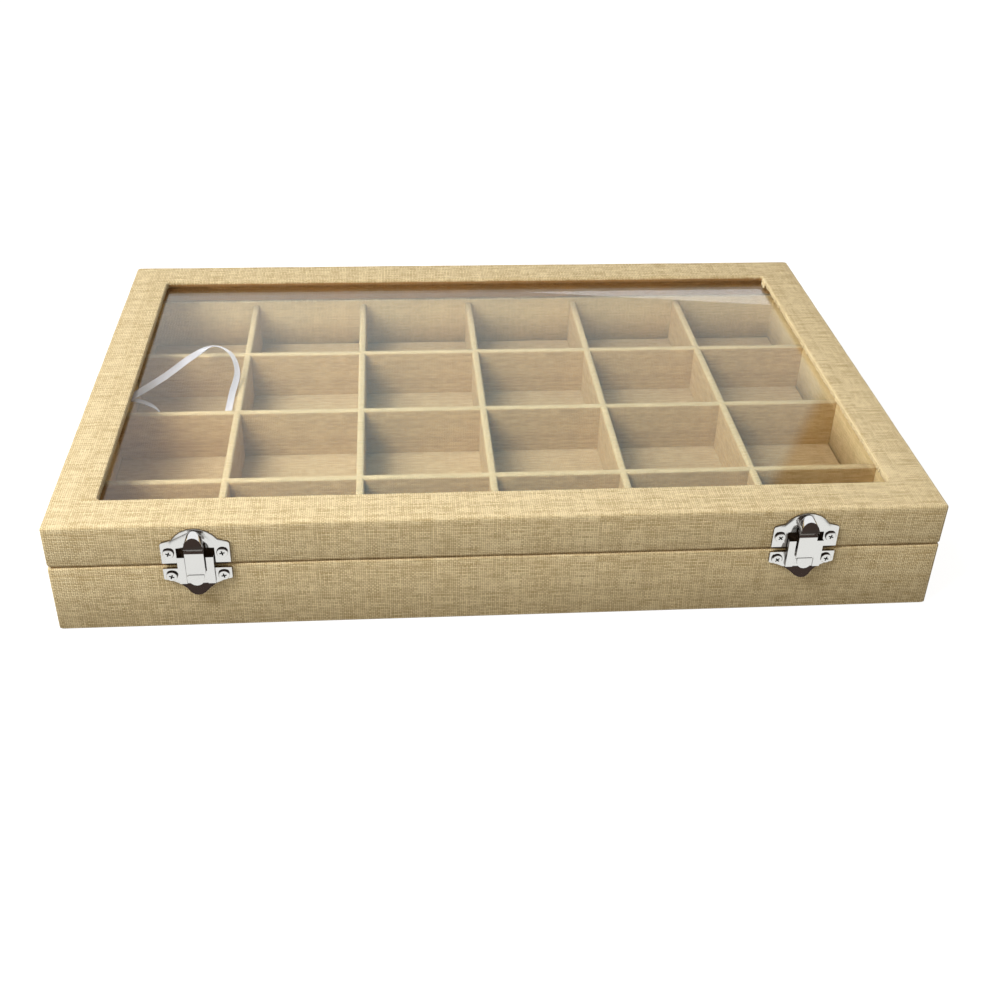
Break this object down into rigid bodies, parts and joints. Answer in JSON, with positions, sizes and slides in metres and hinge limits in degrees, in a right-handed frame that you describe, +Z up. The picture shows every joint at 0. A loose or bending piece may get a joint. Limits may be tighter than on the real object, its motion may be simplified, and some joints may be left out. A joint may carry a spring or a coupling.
{
  "type": "tray with lid",
  "caption": "Flat cloth-covered tray divided into square compartments, with a hinged glass-topped lid, spring latches on the front and a ribbon stay.",
  "frame": {"origin": "middle of the flat underside, on the surface the tray stands on", "axes": "+X along the length, to the right as seen from the latches; +Y from the latches to the hinges; +Z up"},
  "size_m": [0.35, 0.2497, 0.0482],
  "materials": {
    "linen_board": "thin board covered with natural linen",
    "linen_card": "stiff card covered with natural linen",
    "linen_lining": "natural linen lining",
    "clear_glass": "clear pane",
    "bright_nickel": "bright nickel plate",
    "spring_steel": "plain spring steel",
    "white_satin": "white satin ribbon"
  },
  "bodies": {
    "tray": {"divider_long_1": "linen_card", "divider_long_2": "linen_card", "divider_long_3": "linen_card", "divider_short_1": "linen_card", "divider_short_2": "linen_card", "divider_short_3": "linen_card", "divider_short_4": "linen_card", "divider_short_5": "linen_card", "hinge_left_pin": "bright_nickel", "hinge_left_tray_leaf": "bright_nickel", "hinge_left_tray_screw_a": "bright_nickel", "hinge_left_tray_screw_b": "bright_nickel", "hinge_right_pin": "bright_nickel", "hinge_right_tray_leaf": "bright_nickel", "hinge_right_tray_screw_a": "bright_nickel", "hinge_right_tray_screw_b": "bright_nickel", "latch_left_base_plate": "bright_nickel", "latch_left_base_screw_left": "bright_nickel", "latch_left_base_screw_right": "bright_nickel", "latch_left_pin": "bright_nickel", "latch_left_spring": "spring_steel", "latch_right_base_plate": "bright_nickel", "latch_right_base_screw_left": "bright_nickel", "latch_right_base_screw_right": "bright_nickel", "latch_right_pin": "bright_nickel", "latch_right_spring": "spring_steel", "ribbon_stay": "white_satin", "tray_bottom_board": "linen_board", "tray_floor_lining": "linen_lining", "tray_wall_back": "linen_board", "tray_wall_front": "linen_board", "tray_wall_left": "linen_board", "tray_wall_right": "linen_board"},
    "lid": {"glass_pane": "clear_glass", "glass_retainer_back": "linen_card", "glass_retainer_front": "linen_card", "glass_retainer_left": "linen_card", "glass_retainer_right": "linen_card", "hinge_left_lid_leaf": "bright_nickel", "hinge_left_lid_screw_a": "bright_nickel", "hinge_left_lid_screw_b": "bright_nickel", "hinge_right_lid_leaf": "bright_nickel", "hinge_right_lid_screw_a": "bright_nickel", "hinge_right_lid_screw_b": "bright_nickel", "latch_left_hook_plate": "bright_nickel", "latch_left_hook_screw_left": "bright_nickel", "latch_left_hook_screw_right": "bright_nickel", "latch_right_hook_plate": "bright_nickel", "latch_right_hook_screw_left": "bright_nickel", "latch_right_hook_screw_right": "bright_nickel", "lid_top_board": "linen_board", "lid_wall_back": "linen_board", "lid_wall_front": "linen_board", "lid_wall_left": "linen_board", "lid_wall_right": "linen_board"},
    "latch_left_lever": {"latch_left_lever": "bright_nickel"},
    "latch_right_lever": {"latch_right_lever": "bright_nickel"}
  },
  "joints": [
    {"name": "lid_hinge", "type": "hinge", "parent": "tray", "child": "lid", "pos_m": [0, 0.1221, 0.0308], "axis": [-1, 0, 0], "range_deg": [0, 105], "deforming": ["ribbon_stay"]},
    {"name": "latch_left_lever_pivot", "type": "hinge", "parent": "tray", "child": "latch_left_lever", "pos_m": [-0.1184, -0.12275, 0.0314], "axis": [-1, 0, 0], "range_deg": [0, 8], "stiffness_Nm_per_rad": 0.06, "springref_deg": -11.46, "deforming": ["latch_left_spring"]},
    {"name": "latch_right_lever_pivot", "type": "hinge", "parent": "tray", "child": "latch_right_lever", "pos_m": [0.1184, -0.12275, 0.0314], "axis": [-1, 0, 0], "range_deg": [0, 8], "stiffness_Nm_per_rad": 0.06, "springref_deg": -11.46, "deforming": ["latch_right_spring"]}
  ]
}
